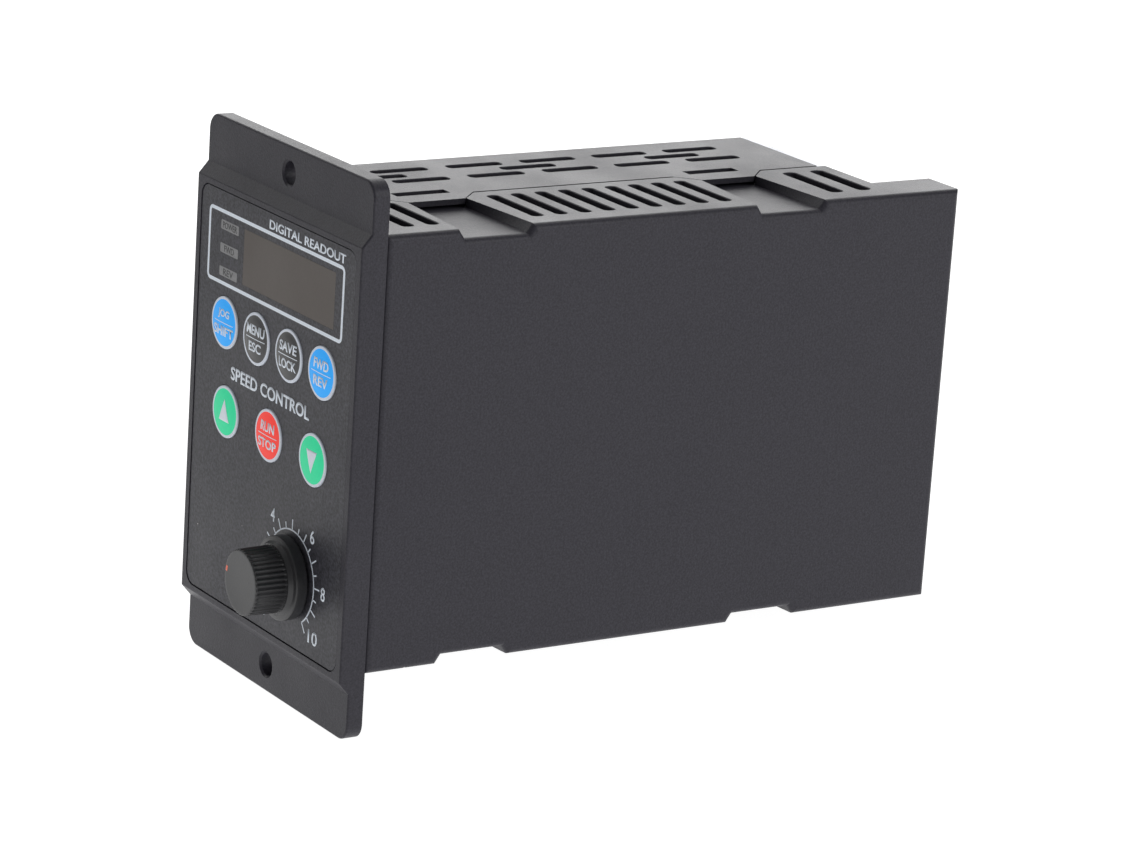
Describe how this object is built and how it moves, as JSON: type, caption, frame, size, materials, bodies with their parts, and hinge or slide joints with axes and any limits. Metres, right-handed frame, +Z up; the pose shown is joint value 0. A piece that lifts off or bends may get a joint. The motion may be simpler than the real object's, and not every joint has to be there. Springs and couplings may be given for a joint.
{
  "type": "variable frequency drive",
  "caption": "Panel-mount variable frequency drive: flanged keypad front with display window, push keys and speed knob, slotted housing, side heatsink, rear fan and terminal strip.",
  "frame": {"origin": "on the rear face of the mounting flange, midway between its two holes", "axes": "+X to the right of the keypad, +Y from the front to the rear terminals, +Z up the keypad"},
  "size_m": [0.076, 0.1741, 0.1274],
  "materials": {
    "body_plastic": "fine textured moulding",
    "overlay_film": "printed satin film",
    "display_tint": "tinted acrylic",
    "indicator_lens": "smoked acrylic",
    "key_blue": "satin print",
    "key_green": "satin print",
    "key_red": "satin print",
    "key_black": "glossy",
    "spring_steel": "polished",
    "circuit_board": "solder mask",
    "screw_steel": "zinc plated",
    "chip_package": "epoxy",
    "display_module": "filled epoxy",
    "component_case": "moulded",
    "plated_brass": "plated",
    "knob_plastic": "moulded",
    "pointer_red": "moulded",
    "heatsink_aluminium": "extruded",
    "thermal_film": "silicone film",
    "capacitor_sleeve": "shrunk sleeve",
    "ferrite": "sintered",
    "winding_tape": "polyester tape",
    "relay_case": "moulded",
    "fuse_glass": "clear",
    "rear_metal": "plated sheet",
    "fan_plastic": "moulded",
    "terminal_plastic": "moulded",
    "contact_tin": "tinned"
  },
  "bodies": {
    "drive": {"front_bezel": "body_plastic", "keypad_overlay": "overlay_film", "display_window": "display_tint", "indicator_lenses": "indicator_lens", "key_domes": "spring_steel", "control_board": "circuit_board", "board_screws": "screw_steel", "bezel_screws": "screw_steel", "control_chips": "chip_package", "led_display": "display_module", "indicator_leds": "display_module", "potentiometer_body": "component_case", "potentiometer_bush": "plated_brass", "potentiometer_nut": "plated_brass", "potentiometer_washer": "plated_brass", "left_shell": "body_plastic", "right_shell": "body_plastic", "heatsink": "heatsink_aluminium", "heatsink_screws": "screw_steel", "thermal_pad": "thermal_film", "igbt_module": "chip_package", "igbt_screws": "screw_steel", "rectifier_bridge": "chip_package", "power_board": "circuit_board", "power_board_screws": "screw_steel", "board_connector": "component_case", "bulk_capacitors": "capacitor_sleeve", "transformer_core": "ferrite", "transformer_bobbin": "winding_tape", "relay": "relay_case", "emi_choke": "ferrite", "film_capacitors": "relay_case", "input_fuse": "fuse_glass", "fuse_clips": "plated_brass", "rear_plate": "rear_metal", "rear_plate_screws": "screw_steel", "fan_screws": "screw_steel", "fan_frame": "fan_plastic", "fan_bearing": "plated_brass", "terminal_block": "terminal_plastic", "terminal_contacts": "contact_tin", "terminal_clamps": "screw_steel", "terminal_screws": "screw_steel", "terminal_block_screws": "screw_steel", "terminal_board": "circuit_board", "earth_screw": "screw_steel", "earth_washer": "screw_steel"},
    "speed_knob": {"knob": "knob_plastic", "knob_pointer": "pointer_red", "potentiometer_shaft": "plated_brass"},
    "fan_wheel": {"fan_rotor": "fan_plastic"},
    "key_shift": {"key_shift": "key_blue"},
    "key_direction": {"key_direction": "key_blue"},
    "key_menu": {"key_menu": "key_black"},
    "key_save": {"key_save": "key_black"},
    "key_up": {"key_up": "key_green"},
    "key_down": {"key_down": "key_green"},
    "key_run_stop": {"key_run_stop": "key_red"}
  },
  "joints": [
    {"name": "knob_turn", "type": "hinge", "parent": "drive", "child": "speed_knob", "pos_m": [0.0133, 0, -0.032], "axis": [0, 1, 0], "range_deg": [-68, 222]},
    {"name": "fan_spin", "type": "hinge", "parent": "drive", "child": "fan_wheel", "pos_m": [-0.002, 0.13, 0.0018], "axis": [0, 1, 0], "continuous": true},
    {"name": "press_shift", "type": "slide", "parent": "drive", "child": "key_shift", "axis": [0, 1, 0], "range_m": [0, 0.0003], "stiffness_N_per_m": 3000},
    {"name": "press_direction", "type": "slide", "parent": "drive", "child": "key_direction", "axis": [0, 1, 0], "range_m": [0, 0.0003], "stiffness_N_per_m": 3000},
    {"name": "press_menu", "type": "slide", "parent": "drive", "child": "key_menu", "axis": [0, 1, 0], "range_m": [0, 0.0003], "stiffness_N_per_m": 3000},
    {"name": "press_save", "type": "slide", "parent": "drive", "child": "key_save", "axis": [0, 1, 0], "range_m": [0, 0.0003], "stiffness_N_per_m": 3000},
    {"name": "press_up", "type": "slide", "parent": "drive", "child": "key_up", "axis": [0, 1, 0], "range_m": [0, 0.0003], "stiffness_N_per_m": 3000},
    {"name": "press_down", "type": "slide", "parent": "drive", "child": "key_down", "axis": [0, 1, 0], "range_m": [0, 0.0003], "stiffness_N_per_m": 3000},
    {"name": "press_run_stop", "type": "slide", "parent": "drive", "child": "key_run_stop", "axis": [0, 1, 0], "range_m": [0, 0.0003], "stiffness_N_per_m": 3000}
  ]
}
